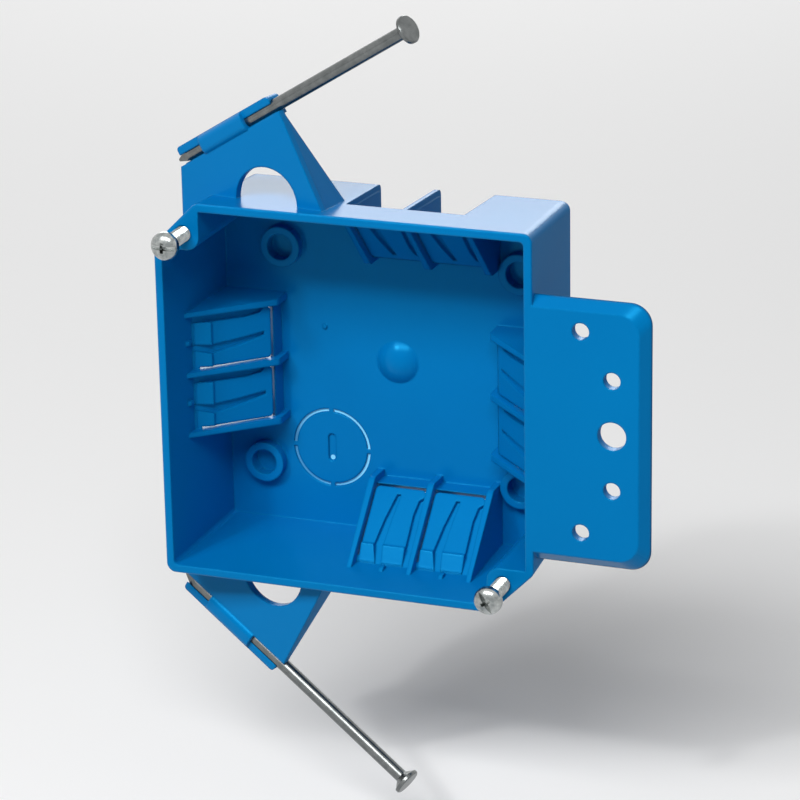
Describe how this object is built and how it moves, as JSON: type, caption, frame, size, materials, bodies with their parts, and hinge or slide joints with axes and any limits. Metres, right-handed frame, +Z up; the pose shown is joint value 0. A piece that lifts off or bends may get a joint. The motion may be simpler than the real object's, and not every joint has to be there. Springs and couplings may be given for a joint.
{
  "type": "new work outlet box",
  "caption": "Square plastic wall box for new work with captive nails, a side bracket, spring cable clamps, a back knockout and cover screws in two cut corners.",
  "frame": {"origin": "centre of the open front, in the plane of the rim", "axes": "+Z up, +Y from the open front into the box, +X from the stud side to the bracket"},
  "size_m": [0.1332, 0.0514, 0.2084],
  "materials": {
    "box_plastic": "moulded, satin gloss",
    "nail_steel": "bright drawn steel",
    "screw_zinc": "zinc plated"
  },
  "bodies": {
    "root": {"box_body": "box_plastic", "nail_top": "nail_steel", "nail_bottom": "nail_steel", "cover_screw_top_left": "screw_zinc", "cover_screw_bottom_right": "screw_zinc"}
  },
  "joints": []
}
